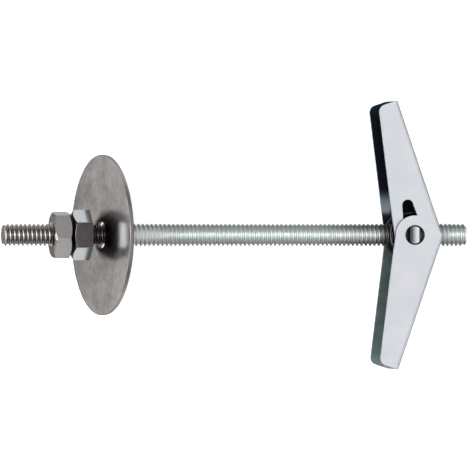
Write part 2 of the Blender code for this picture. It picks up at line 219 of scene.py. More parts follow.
class CrossNutSettings(bpy.types.PropertyGroup):
    radius: length("Drum radius", 4.15 * MM, "Radius of the drum about the pin")
    half: length("Half height", 4.15 * MM, "From the rod's axis to the drum's end")
    ear: length("Ear radius", 1.8 * MM, "Radius of the ear's round ends about the pin")
    ear_flat: length("Ear thickness", 2.0 * MM, "Between the ear's two flats")
    ear_reach: length("Ear reach", 6.0 * MM, "From the rod's axis to the ear's end")
    bore: length("Bore", 4.9 * MM, "Clear hole over the rod's crests")
    countersink: length("Countersink", 0.3 * MM, "Depth of the countersink at each end of the bore")
    edge: length("Edge radius", 0.12 * MM, "Rounding of the edges")
    colour: colour("Colour", (0.72, 0.74, 0.74), "Bright zinc plate")
    # Painted shade on the drum and on one half of each ear
    oily: colour("Oily colour", (0.065, 0.080, 0.095), "Drum and shaded half of each ear")
    roughness: share("Roughness", 0.22, "Roughness of the plate")


class SpringSettings(bpy.types.PropertyGroup):
    wire: length("Wire", 0.6 * MM, "Diameter of the wire")
    coil_share: share("Coil share", 0.96, "Coils' wire over the legs', to keep their surfaces apart")
    radius: length("Coil radius", 4.75 * MM, "From the pin to the middle of the wire")
    outer_pass: length("Outer pass", 3.85 * MM, "Height of the coil's outer pass above the rod's axis")
    inner_pass: length("Inner pass", 3.0 * MM, "Height of the coil's inner pass above the rod's axis")
    free_leg: length("Free leg", 13.0 * MM, "Length of the legs on the upper wing")
    loop_leg: length("Loop", 10.0 * MM, "Reach of the loop on the lower wing")
    loop_corner: length("Loop corner", 1.0 * MM, "Radius of the loop's bends")
    colour: colour("Colour", (0.055, 0.048, 0.046), "Drawn spring wire")
    roughness: share("Roughness", 0.30, "Roughness of the wire")


class StageSettings(bpy.types.PropertyGroup):
    distance: length("Camera distance", 2.0, "From the camera to the middle of the fixing")
    frame_width: length("Frame width", 101.2 * MM, "Width that the picture takes in at the fixing")
    view_angle: angle("View angle", math.radians(11), "From the pin's direction back to the washer")
    floor_size: length("Floor size", 3.0, "Half a side of the floor")
    floor_colour: colour("Floor", (0.93, 0.93, 0.93), "Plain pale floor")
    glow: share("Floor glow", 0.5, "Light that the floor gives off, as a light table does")
    surround: strength("Surround", 0.42, "Light from all round")
    overhead: strength("Overhead", 0.62, "More light from over the rod")
    low_band: strength("Low band", 0.50, "More light from just above the floor")
    lamp: strength("Lamp", 14.0, "More light from a small lamp over the nuts' side")
    card_colour: colour("Card", (0.012, 0.0095, 0.0105), "Dark card")
    card_low: length("Card start", 50 * MM, "Near edge of the dark card, along the floor")
    card_high: length("Card end", 82 * MM, "Far edge of the dark card, along the floor")
    card_side: length("Card offset", 18 * MM, "Middle of the dark card, across the rod")
    card_height: length("Card height", 300 * MM, "Height of the dark card above the floor")


PROPERTY_GROUPS = {
    "fixing_rod": RodSettings,
    "fixing_nut": NutSettings,
    "fixing_washer": WasherSettings,
    "fixing_wing": WingSettings,
    "fixing_cross_nut": CrossNutSettings,
    "fixing_spring": SpringSettings,
    "fixing_stage": StageSettings,
}


def paint(tone, factor=1.0):
    """A colour with its brightness changed, as four numbers for a socket."""
    return tuple(min(1.0, part * factor) for part in tone) + (1.0,)


class Value:
    """A node socket that can be used in an expression: each operator adds its Math node."""

    def __init__(self, nodes, socket):
        self.nodes = nodes
        self.socket = socket

    def _math(self, operation, first, second):
        node = self.nodes.add("ShaderNodeMath", {"operation": operation}, {0: first, 1: second})
        return Value(self.nodes, node.outputs[0])

    def __abs__(self):
        return self._math("ABSOLUTE", self, 0.0)

    def __add__(self, other):
        return self._math("ADD", self, other)

    def __radd__(self, other):
        return self._math("ADD", other, self)

    def __sub__(self, other):
        return self._math("SUBTRACT", self, other)

    def __rsub__(self, other):
        return self._math("SUBTRACT", other, self)

    def __mul__(self, other):
        return self._math("MULTIPLY", self, other)

    def __rmul__(self, other):
        return self._math("MULTIPLY", other, self)

    def __pow__(self, other):
        return self._math("POWER", self, other)


class Nodes:
    """A node tree that is written as expressions."""

    def __init__(self, owner):
        owner.use_nodes = True
        self.tree = owner.node_tree

    def add(self, kind, settings=None, inputs=None):
        """Add a node: its settings first, then the values or links of its sockets."""
        node = self.tree.nodes.new(kind)
        for name, setting in (settings or {}).items():
            if name == "stops":
                self._set_stops(node.color_ramp, setting)
            else:
                setattr(node, name, setting)
        self.feed(node, inputs or {})
        return node

    def feed(self, node, inputs):
        for name, value in inputs.items():
            socket = node.inputs[name]
            if isinstance(value, Value):
                self.tree.links.new(value.socket, socket)
            elif isinstance(value, bpy.types.NodeSocket):
                self.tree.links.new(value, socket)
            else:
                socket.default_value = value

    def _set_stops(self, ramp, stops):
        while len(ramp.elements) < len(stops):
            ramp.elements.new(0.5)
        for element, (position, level) in zip(ramp.elements, stops):
            element.position = position
            element.color = (level, level, level, 1.0)

    def parts(self, vector):
        """A vector's three components."""
        node = self.add("ShaderNodeSeparateXYZ", {}, {0: vector})
        return [Value(self, socket) for socket in node.outputs]

    def fade(self, value, start, end):
        """0 up to one level and 1 from the other, in a soft step that may rise or fall."""
        node = self.add("ShaderNodeMapRange", {"interpolation_type": "SMOOTHSTEP"},
                        {"Value": value, "From Min": start, "From Max": end})
        return Value(self, node.outputs["Result"])

    def stretched(self, place, scale):
        """The same place with its axes scaled, for a pattern that runs one way."""
        node = self.add("ShaderNodeMapping", {}, {"Vector": place, "Scale": scale})
        return node.outputs["Vector"]

    def noise(self, place, scale, detail=2.0, roughness=0.5):
        node = self.add("ShaderNodeTexNoise", {}, {
            "Vector": place, "Scale": scale, "Detail": detail, "Roughness": roughness,
        })
        return Value(self, node.outputs["Fac"])

    def ramp(self, value, *stops):
        node = self.add("ShaderNodeValToRGB", {"stops": stops}, {"Fac": value})
        return Value(self, node.outputs["Color"])

    def mix(self, mask, first, second):
        """Two colours mixed, through the colour sockets that share their names with others."""
        node = self.add("ShaderNodeMix", {"data_type": "RGBA"}, {0: mask})
        self.feed(node, {6: first, 7: second})
        return node.outputs[2]

    def mottled(self, pattern, tone, low, high):
        """A colour that a pattern takes from one brightness to another."""
        return self.mix(pattern, paint(tone, low), paint(tone, high))

    def bump(self, height, strength, distance=0.02 * MM):
        node = self.add("ShaderNodeBump", {}, {
            "Height": height, "Strength": strength, "Distance": distance,
        })
        return node.outputs["Normal"]


class Finish(Nodes):
    """A material for one kind of piece, on Object coordinates turned into the rod's frame."""

    def __init__(self, name):
        self.material = bpy.data.materials.new(name)
        super().__init__(self.material)
        self.shader = self.tree.nodes["Principled BSDF"]

    def place(self):
        """Where a point lies in the rod's frame, in millimetres."""
        coordinates = self.add("ShaderNodeTexCoord")
        mapping = self.add("ShaderNodeMapping", {"vector_type": "TEXTURE"}, {
            "Vector": coordinates.outputs["Object"],
            "Location": ROD_FRAME.translation,
            "Rotation": ROD_FRAME.to_euler(),
            "Scale": (MM, MM, MM),
        })
        return mapping.outputs["Vector"]

    def metal(self, base, roughness, normal=None, metallic=1.0):
        self.feed(self.shader, {
            "Base Color": base, "Roughness": roughness, "Metallic": metallic, "Specular Tint": GLANCING,
        })
        if normal is not None:
            self.feed(self.shader, {"Normal": normal})
        return self.material


def uneven(level, pattern, spread):
    """A level that a pattern varies evenly to both sides."""
    return level + spread * (pattern - 0.5)


def thread_finish(settings):
    """The rod's plate: bright in the middle, with painted shade and painted shadow towards the nuts and the cross
    nut.
    """
    finish = Finish("zinc_thread")
    place = finish.place()
    along, side, up = finish.parts(place)
    radius = (side * side + up * up) ** 0.5
    crest = settings.diameter / 2 / MM
    root = crest - settings.depth / MM
    height = (radius - root) * (1 / (crest - root))
    # Painted shade in the roots: this mask takes the crests' lighter plate down to the roots' darker one
    worn = finish.ramp(height, (0.15, 0.0), (0.85, 1.0))
    grain = finish.noise(place, 1.1, 3.0)
    # Painted shade: the thread is painted darker by the nuts and by the cross nut
    pivot = PIVOT.x / MM
    washer = WASHER_MIDDLE / MM
    by_pin = finish.fade(along, pivot + 4, pivot + 1)
    by_nuts = finish.fade(along, washer + 8.2, washer + 2.2)
    off_nuts = 1.0 - by_nuts
    dull = by_nuts + 0.35 * finish.fade(along, pivot - 20, pivot - 6) * by_pin
    crests = finish.mottled(grain, settings.colour, 0.90, 1.08)
    crests = finish.mix(dull, crests, paint(settings.dull))
    roots = finish.mix(dull, paint(settings.root_colour), paint(settings.dull_root))
    base = finish.mix(worn, roots, crests)
    # Painted light: past the washer the crests are painted lighter, where the washer shades them
    covered = 0.55 * finish.fade(along, washer + 15.7, washer + 9.7) * off_nuts
    base = finish.mix(covered, base, paint(settings.covered))
    # Painted shade: the rod's two sides are painted darker than its top
    off_top = abs(side) * (1 / crest)
    rubbed = 0.75 * by_nuts * finish.fade(off_top, 0.26, 0.48)
    base = finish.mix(rubbed, base, paint(settings.rubbed))
    shade = settings.side + 0.18 * finish.fade(along, pivot - 22, pivot - 8) * by_pin
    sides = shade * finish.fade(off_top, 0.30, 0.75) * (1.0 - 0.7 * by_nuts)
    base = finish.mix(sides, base, paint(settings.side_colour))
    # Painted shadow of the wings on the thread beside the cross nut
    oil = settings.oil * finish.fade(along, pivot - 8, pivot - 5) * by_pin
    base = finish.mix(oil, base, paint(settings.oil_colour))
    # Painted shadow on the thread between the inner nut and the washer, most of all along its top
    nut_end = INNER_NUT_SPAN[1] / MM
    gap = finish.fade(along, nut_end - 0.3, nut_end) * finish.fade(along, nut_end + 4.4, nut_end + 3.4)
    smear = settings.smear * gap * (0.25 + 0.75 * finish.fade(off_top, 0.85, 0.60))
    base = finish.mix(smear, base, paint(settings.smear_colour))
    blur = (0.10 + 0.16 * finish.fade(off_top, 0.35, 0.8)) * off_nuts
    roughness = uneven(settings.roughness + blur, finish.noise(place, 4.0), 0.14)
    normal = finish.bump(finish.noise(place, 9.0, 2.0), 0.12)
    return finish.metal(base, roughness, normal)


def corner_reach(settings):
    """From a nut's axis to its corners."""
    return settings.flats / 2 / math.cos(HEX_TURN)


def nut_finish(settings):
    """The nuts' flats: plain on the outer nut, and on the inner one a painted dark reflection on the two flats
    square to the pin.
    """
    finish = Finish("nut_plate")
    place = finish.place()
    cloud = finish.noise(place, 0.55, 3.0)
    grain_and_fold_shade = finish.noise(finish.stretched(place, (0.4, 5.0, 5.0)), 2.2, 3.0)
    along, side = finish.parts(place)[:2]
    inner = finish.fade(along, OUTER_NUT_SPAN[1] / MM - 0.1, OUTER_NUT_SPAN[1] / MM + 0.1)
    half_side = settings.flats / 2 * math.tan(HEX_TURN) / MM
    # Painted reflection: the two flats square to the pin are painted darker than the other flats
    clean = finish.fade(abs(side), half_side - 0.1, half_side + 0.1)
    dull = finish.mix(clean, paint(settings.inner_dark_reflection), paint(settings.inner_plain))
    dull = finish.mix(0.15 * cloud, dull, paint(settings.turned))
    base = finish.mottled(cloud, settings.colour, 0.86, 1.14)
    base = finish.mix(inner, base, dull)
    roughness = uneven(settings.roughness, grain_and_fold_shade, 0.10)
    normal = finish.bump(grain_and_fold_shade, 0.10)
    return finish.metal(base, roughness, normal)


def turned_finish(settings):
    """The nuts' turned faces and chamfers, with a painted highlight on one corner and painted shade between the
    nuts.
    """
    finish = Finish("nut_turned")
    place = finish.place()
    along, side, up = finish.parts(place)
    ring = (side * side + up * up) ** 0.5
    rings = finish.add("ShaderNodeCombineXYZ", {}, {"X": ring, "Y": along})
    grooves = finish.noise(rings.outputs["Vector"], 6.0, 2.0)
    base = finish.mottled(grooves, settings.turned, 0.85, 1.15)
    # Painted highlight: a glint on the outer nut's near corner
    corner = corner_reach(settings) / MM
    off_x = along - (OUTER_NUT_SPAN[0] / MM + 0.3)
    off_y = side + corner * math.sin(settings.outer_turn) - 0.5
    off_z = up - corner * math.cos(settings.outer_turn)
    away = (off_x * off_x + off_y * off_y + off_z * off_z) ** 0.5
    base = finish.mix(finish.fade(away, 1.15, 0.75), base, paint(settings.worn))
    # Painted shade in the gap between the two nuts
    low, high = OUTER_NUT_SPAN[1] / MM, INNER_NUT_SPAN[0] / MM
    between = finish.fade(along, low - 0.7, low - 0.25) * finish.fade(along, high + 0.15, high)
    base = finish.mix(between, base, paint(settings.dirt))
    normal = finish.bump(grooves, 0.12)
    return finish.metal(base, settings.roughness + 0.14, normal)


def washer_finish(settings):
    """Cloudy satin plate, with painted shade on its arrises, a painted shadow and reflection round the rod, and a
    painted reflection of the inner nut beyond it.
    """
    finish = Finish("washer_plate")
    place = finish.place()
    cloud = finish.noise(place, 0.16, 4.0, 0.6)
    rolled = finish.noise(finish.stretched(place, (1.0, 0.25, 3.0)), 2.6, 4.0, 0.6)
    tone = cloud * 0.45 + rolled * 0.20 + finish.noise(place, 0.8, 4.0, 0.6) * 0.35
    base = finish.mottled(finish.ramp(tone, (0.38, 0.0), (0.62, 1.0)), settings.colour, 0.76, 1.32)
    roughness = uneven(settings.roughness, cloud, 0.12)
    normal = finish.bump(rolled, 0.10)
    # The rolled-over arrises are painted darker, as painted shade along the edges
    along, side, up = finish.parts(place)
    from_middle = along - WASHER_MIDDLE / MM
    radius = (from_middle * from_middle + side * side + up * up) ** 0.5
    depth = WASHER_AXIS.x * from_middle + WASHER_AXIS.z * up
    edge, outer, half = settings.edge / MM, settings.diameter / 2 / MM, settings.thickness / 2 / MM
    far_arris = finish.fade(depth, half - 1.5 * edge, half - edge / 2)
    near_arris = finish.fade(depth, edge / 2 - half, -half) * finish.fade(up, 6.0, -2.0)
    rim = settings.rim * finish.fade(radius, outer - edge, outer - edge / 2) * (far_arris + near_arris)
    lip = finish.fade(radius, outer - 0.06, outer - 0.02)
    base = finish.mix(lip, base, paint(settings.colour, settings.lip))
    # Painted shadow and the rod's painted reflection round the rod; beyond them, the face that looks at the nuts
    # is painted lighter and cooler, a painted reflection of the inner nut
    off_rod = (side * side + (up - 2.2) * (up - 2.2)) ** 0.5
    grime = settings.grime * finish.fade(off_rod, 6.2, 3.2)
    # Painted reflection: a lighter, cooler patch where the face mirrors the inner nut
    clean = finish.fade(up, 8.0, 9.2) * finish.fade(up, 15.5, 13.6) * finish.fade(abs(side), 3.4, 2.2)
    base = finish.mix(clean * finish.fade(depth, 0.1, -0.1), base, paint(settings.clean))
    base = finish.mix(rim, base, paint(settings.rim_colour))
    base = finish.mix(grime, base, paint(settings.grime_colour))
    return finish.metal(base, roughness, normal)


def wing_finish(settings):
    """Bright plate with a faint bloom, and painted shade over the folds."""
    finish = Finish("wing_plate")
    place = finish.place()
    cloud = finish.noise(place, 0.22, 4.0, 0.55)
    skin = finish.noise(place, 3.5, 3.0)
    tint = finish.ramp(finish.noise(place, 0.35, 3.0), (0.35, 0.0), (0.65, 1.0))
    plate = finish.mix(tint, paint(settings.warm), paint(settings.colour))
    base = finish.mix(finish.ramp(cloud, (0.3, 0.0), (0.7, 1.0)), paint(settings.colour, 0.95), plate)
    # Painted shade along the folds, on the outer flanges and on the inner ones
    along, side, up = finish.parts(place)
    out = (along - PIVOT.x / MM) * math.cos(settings.lean) + abs(side) * math.sin(settings.lean)
    inner = finish.fade(side * up, -1.0, 1.0)
    face = settings.width / 2 / MM - (settings.sheet + settings.gap) / MM * inner
    fold = (finish.fade(out, settings.web / MM - 0.40, settings.web / MM - 0.22)
            * finish.fade(abs(up) - face, -1.3, -1.0))
    grain_and_fold_shade = finish.mix(finish.fade(side, -1.0, 1.0), paint(settings.fold_lower), paint(settings.fold))
    base = finish.mix(fold, base, grain_and_fold_shade)
    roughness = uneven(settings.roughness, cloud, 0.12)
    normal = finish.bump(skin, 0.08, 0.03 * MM)
    return finish.metal(base, roughness, normal)


def inside_finish(settings):
    """The channel's inside, painted darker as painted shade, most of all in the upper wing."""
    finish = Finish("wing_inside")
    place = finish.place()
    cloud = finish.noise(place, 0.5, 3.0)
    along, side = finish.parts(place)[:2]
    upper = finish.fade(side, -1.0, 1.0)
    base = finish.mottled(cloud, settings.inside_lower, 0.85, 1.2)
    base = finish.mix(upper, base, paint(settings.inside))
    # By the pin the upper wing's inside is lighter
    pivot = PIVOT.x / MM
    wiped = finish.fade(side, 4.0, 5.4) * finish.fade(side, 10.0, 7.0)
    wiped = wiped * finish.fade(along, pivot - 2.6, pivot - 3.4)
    base = finish.mix(wiped, base, paint(settings.wiped))
    return finish.metal(base, uneven(settings.inside_roughness, cloud, 0.10))


def wire_finish(settings):
    finish = Finish("spring_wire")
    place = finish.place()
    cloud = finish.noise(place, 0.8, 3.0)
    base = finish.mottled(cloud, settings.colour, 0.88, 1.10)
    roughness = uneven(settings.roughness, finish.noise(place, 3.0), 0.12)
    normal = finish.bump(finish.noise(place, 6.0), 0.08)
    return finish.metal(base, roughness, normal)


def cross_nut_finish(settings):
    """Painted light and shade: bright on the ears' ends, painted dark on the drum, and painted shade across each
    ear.
    """
    finish = Finish("cross_nut_plate")
    place = finish.place()
    along, _, up = finish.parts(place)
    cloud = finish.noise(place, 0.8, 3.0)
    bright = finish.mottled(cloud, settings.colour, 0.92, 1.10)
    pivot = PIVOT.x / MM
    ear = settings.ear_flat / 2 / MM
    # Painted light on the ears' ends, on their halves away from the nuts; painted shade on the drum and the rest
    # of each ear
    light = (finish.fade(abs(up), settings.half / MM + 0.3, settings.ear_reach / MM - 0.3)
             * finish.fade(along, pivot - 0.75 * ear, pivot + 0.7 * ear))
    base = finish.mix(light, paint(settings.oily), bright)
    roughness = uneven(settings.roughness, cloud, 0.12)
    normal = finish.bump(finish.noise(place, 6.0), 0.08)
    return finish.metal(base, roughness, normal)


def new_object(name, bm):
    mesh = bpy.data.meshes.new(name)
    bm.to_mesh(mesh)
    bm.free()
    obj = bpy.data.objects.new(name, mesh)
    bpy.context.scene.collection.objects.link(obj)
    return obj


def closed(name, bm):
    """A closed solid as an object, its doubles merged and its faces pointing out."""
    bmesh.ops.remove_doubles(bm, verts=bm.verts, dist=1e-7)
    bmesh.ops.recalc_face_normals(bm, faces=bm.faces)
    return new_object(name, bm)


def combine(obj, tool, operation="DIFFERENCE"):
    """Run one Boolean, keep its result in the first object and remove the second."""
    modifier = obj.modifiers.new("combine", "BOOLEAN")
    modifier.object = tool
    modifier.operation = operation
    bpy.context.view_layer.update()
    result = bpy.data.meshes.new_from_object(obj.evaluated_get(bpy.context.evaluated_depsgraph_get()))
    obj.modifiers.clear()
    obj.data = result
    bpy.data.objects.remove(tool)


def round_off(obj, radius, limit=math.radians(35)):
    modifier = obj.modifiers.new("edges", "BEVEL")
    modifier.width = radius
    modifier.segments = 2
    modifier.limit_method = "ANGLE"
    modifier.angle_limit = limit
    modifier.use_clamp_overlap = True
    modifier.harden_normals = True


def check_closed(obj):
    """Raise an error unless a piece is a closed solid."""
    bm = bmesh.new()
    bm.from_mesh(obj.data)
    open_edges = sum(not edge.is_manifold for edge in bm.edges)
    faces = len(bm.faces)
    bm.free()
    if not faces or open_edges:
        raise RuntimeError(f"{obj.name} has {faces} faces and {open_edges} open edges")


def dress(obj, material, bodies, replaces=(), sharp=math.radians(32)):
    """Shade a finished piece, give it its finish and hand it to its body."""
    check_closed(obj)
    if material:
        obj.data.materials.clear()
        obj.data.materials.append(material)
    obj.data.shade_smooth()
    obj.data.set_sharp_from_angle(angle=sharp)
    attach(obj, bodies)
    if replaces:
        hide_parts(*replaces)


def put(obj, matrix):
    """Place a piece through its mesh, so that its object stays at the origin."""
    obj.data.transform(matrix)
    obj.data.update()


def turned(bm, profile, steps):
    """Spin a profile of (x, radius) points about X."""
    verts = [bm.verts.new((x, 0.0, radius)) for x, radius in profile]
    edges = [bm.edges.new(pair) for pair in zip(verts, verts[1:])]
    bmesh.ops.spin(bm, geom=verts + edges, cent=(0, 0, 0), axis=(1, 0, 0), angle=math.tau,
                   steps=steps, use_merge=True)


def bar(radius, low, high, flare):
    """A round bar along X, wider at both ends by the flare, with 45 degree shoulders."""
    bm = bmesh.new()
    over = 1.0 * MM
    profile = [(low - over, 0), (low - over, radius + flare + over)]
    profile += [(low + flare, radius), (high - flare, radius)]
    profile += [(high + over, radius + flare + over), (high + over, 0)]
    turned(bm, profile, 72)
    return closed("bar", bm)


def drum(radius, low, high, steps=72):
    """A cylinder along Z."""
    bm = bmesh.new()
    bmesh.ops.create_cone(bm, cap_ends=True, segments=steps, radius1=radius, radius2=radius,
                          depth=high - low, matrix=Matrix.Translation((0, 0, (low + high) / 2)))
    return closed("drum", bm)


def block(low, high):
    low, high = Vector(low), Vector(high)
    bm = bmesh.new()
    bmesh.ops.create_cube(bm, size=1.0)
    bmesh.ops.scale(bm, vec=high - low, verts=bm.verts)
    bmesh.ops.translate(bm, vec=(low + high) / 2, verts=bm.verts)
    return bm


def bevel(bm, edges, radius, segments):
    bmesh.ops.bevel(bm, geom=edges, offset=radius, offset_type="OFFSET", affect="EDGES",
                    segments=segments, profile=0.5, material=-1)


def edges_where(bm, test):
    """Edges that pass the test at both ends and in the middle."""
    found = []
    for edge in bm.edges:
        start, end = (vert.co for vert in edge.verts)
        if test(start) and test(end) and test((start + end) / 2):
            found.append(edge)
    return found


def near(value, target, tolerance=1e-7):
    return abs(value - target) < tolerance


def folds_at(bm, x, heights):
    """Edges that run along Y at an X and at one of two heights."""
    return edges_where(bm, lambda co: near(co.x, x) and any(near(co.z, z) for z in heights))


def extrude_flat(bm, height):
    """Extrude the flat faces of a bmesh along Z."""
    grown = bmesh.ops.extrude_face_region(bm, geom=list(bm.faces))
    top = [item for item in grown["geom"] if isinstance(item, bmesh.types.BMVert)]
    bmesh.ops.translate(bm, vec=(0, 0, height), verts=top)


def swing(bm, vert, centre, turn, steps):
    """Sweep a vertex round a centre in the XY plane, leaving an arc of edges. Returns its end."""
    swept = bmesh.ops.spin(bm, geom=[vert], cent=(*centre, 0), axis=(0, 0, 1), angle=turn, steps=steps)
    return next(item for item in swept["geom_last"] if isinstance(item, bmesh.types.BMVert))


def lug_point(radius, heading):
    return (radius * math.cos(heading), radius * math.sin(heading), 0)


# One pitch of the thread's section: shares of the pitch, and of the height above the root
THREAD_PROFILE = [(0.0, 0.0), (0.10, 0.0), (0.20, 0.14), (0.36, 0.86), (0.44, 1.0), (0.56, 1.0),
                  (0.64, 0.86), (0.80, 0.14), (0.90, 0.0), (1.0, 0.0)]


class FIXING_OT_rod(bpy.types.Operator):
    """Model the threaded rod, its thread swept as one screw from end to end"""
    bl_idname = "fixing.rod"
    bl_label = "Threaded rod"

    def execute(self, context):
        settings = context.scene.fixing_rod
        crest = settings.diameter / 2
        low, high = ROD_SPAN
        bm = bmesh.new()
        # The thread runs on past both ends and is cut off square below
        start = low - 2 * settings.pitch
        verts = [bm.verts.new((start + x * settings.pitch, 0, crest - settings.depth * (1 - height)))
                 for x, height in THREAD_PROFILE]
        edges = [bm.edges.new(pair) for pair in zip(verts, verts[1:])]
        bmesh.ops.spin(bm, geom=verts + edges, cent=(0, 0, 0), axis=(1, 0, 0),
                       dvec=(settings.pitch / settings.facets, 0, 0), angle=math.tau,
                       steps=settings.facets)
        one_turn = bm.verts[:] + bm.edges[:] + bm.faces[:]
        for turn in range(1, math.ceil((high - low) / settings.pitch) + 3):
            copied = bmesh.ops.duplicate(bm, geom=one_turn)["geom"]
            bmesh.ops.translate(bm, vec=(turn * settings.pitch, 0, 0),
                                verts=[item for item in copied if isinstance(item, bmesh.types.BMVert)])
        bmesh.ops.remove_doubles(bm, verts=bm.verts, dist=2e-6)
        # The chamfers bring the crests down towards both ends
        for vert in bm.verts:
            inside = min(vert.co.x - low, high - vert.co.x)
            allowed = crest - settings.chamfer + max(inside, 0.0)
            radius = math.hypot(vert.co.y, vert.co.z)
            if radius > allowed:
                vert.co.y *= allowed / radius
                vert.co.z *= allowed / radius
        for place, direction in ((low, -1), (high, 1)):
            everything = bm.verts[:] + bm.edges[:] + bm.faces[:]
            bmesh.ops.bisect_plane(bm, geom=everything, dist=1e-8, plane_co=(place, 0, 0),
                                   plane_no=(direction, 0, 0), clear_outer=True)
        rims = [edge for edge in bm.edges if edge.is_boundary]
        bmesh.ops.holes_fill(bm, edges=rims, sides=0)
        bmesh.ops.recalc_face_normals(bm, faces=bm.faces)
        rod = new_object("rod_thread", bm)
        put(rod, ROD_FRAME)
        dress(rod, thread_finish(settings), "rod", ["threaded_rod"], math.radians(60))
        return {"FINISHED"}


class FIXING_OT_nuts(bpy.types.Operator):
    """Model both hex nuts, chamfered on both faces and countersunk at the bore"""
    bl_idname = "fixing.nuts"
    bl_label = "Hex nuts"

    def execute(self, context):
        settings = context.scene.fixing_nut
        self.finishes = [nut_finish(settings), turned_finish(settings)]
        flats = settings.flats / 2
        far_face = corner_reach(settings) * settings.far_face_share
        nuts = (
            ("outer_nut", OUTER_NUT_SPAN, settings.outer_turn, flats * settings.face_share),
            ("inner_nut", INNER_NUT_SPAN, settings.inner_turn, far_face),
        )
        for node, span, turn, far in nuts:
            nut = self.model(settings, span[1] - span[0], turn, far)
            nut.name = node + "_hex"
            round_off(nut, settings.edge, math.radians(20))
            put(nut, ROD_FRAME @ Matrix.Translation((span[0], 0, 0)))
            dress(nut, None, node, [node], math.radians(20))
        return {"FINISHED"}

    def model(self, settings, thickness, turn, far_face):
        """A nut from X = 0, its second face reaching as far from the bore as is asked."""
        corner = corner_reach(settings)
        # A six-sided cone starts with a corner on +Y: the turn brings that corner from +Z towards -Y
        stand = Matrix.Rotation(turn, 4, "X") @ Matrix.Rotation(RIGHT_ANGLE, 4, "X")
        lie = Matrix.Rotation(RIGHT_ANGLE, 4, "Y")
        place = Matrix.Translation((thickness / 2, 0, 0)) @ stand @ lie
        bm = bmesh.new()
        bmesh.ops.create_cone(bm, cap_ends=True, segments=6, radius1=corner, radius2=corner,
                              depth=2 * thickness, matrix=place)
        nut = closed("nut", bm)
        for finish in self.finishes:
            nut.data.materials.append(finish)
        near_face = settings.flats / 2 * settings.face_share
        wide = corner * 1.1
        slope = math.tan(settings.chamfer)
        profile = [(0, 0), (0, near_face), ((wide - near_face) * slope, wide)]
        profile += [(thickness - (wide - far_face) * slope, wide), (thickness, far_face), (thickness, 0)]
        bm = bmesh.new()
        turned(bm, profile, 144)
        for face in bm.faces:
            face.material_index = 1
        combine(nut, closed("cones", bm), "INTERSECT")
        flare = (settings.countersink - settings.bore) / 2
        combine(nut, bar(settings.bore / 2, 0, thickness, flare))
        return nut


class FIXING_OT_washer(bpy.types.Operator):
    """Model the wide washer, with punched edges, leaning on the rod"""
    bl_idname = "fixing.washer"
    bl_label = "Washer"

    def execute(self, context):
        settings = context.scene.fixing_washer
        half = settings.thickness / 2
        edge = settings.edge
        bm = bmesh.new()
        outer = settings.diameter / 2
        inner = settings.hole / 2
        corners = [(half, outer), (half, inner), (-half, inner), (-half, outer)]
        verts = [bm.verts.new((x, 0, radius)) for x, radius in corners]
        bm.faces.new(verts)
        bmesh.ops.bevel(bm, geom=verts, offset=edge, offset_type="OFFSET", affect="VERTICES",
                        segments=4, profile=0.5, material=-1)
        bmesh.ops.delete(bm, geom=list(bm.faces), context="FACES_ONLY")
        bmesh.ops.spin(bm, geom=bm.verts[:] + bm.edges[:], cent=(0, 0, 0), axis=(1, 0, 0),
                       angle=math.tau, steps=192, use_merge=True)
        washer = closed("fender_washer", bm)
        lean = Matrix.Rotation(math.atan2(-WASHER_AXIS.z, WASHER_AXIS.x), 4, "Y")
        put(washer, ROD_FRAME @ Matrix.Translation((WASHER_MIDDLE, 0, 0)) @ lean)
        dress(washer, washer_finish(settings), "washer", ["washer"])
        return {"FINISHED"}


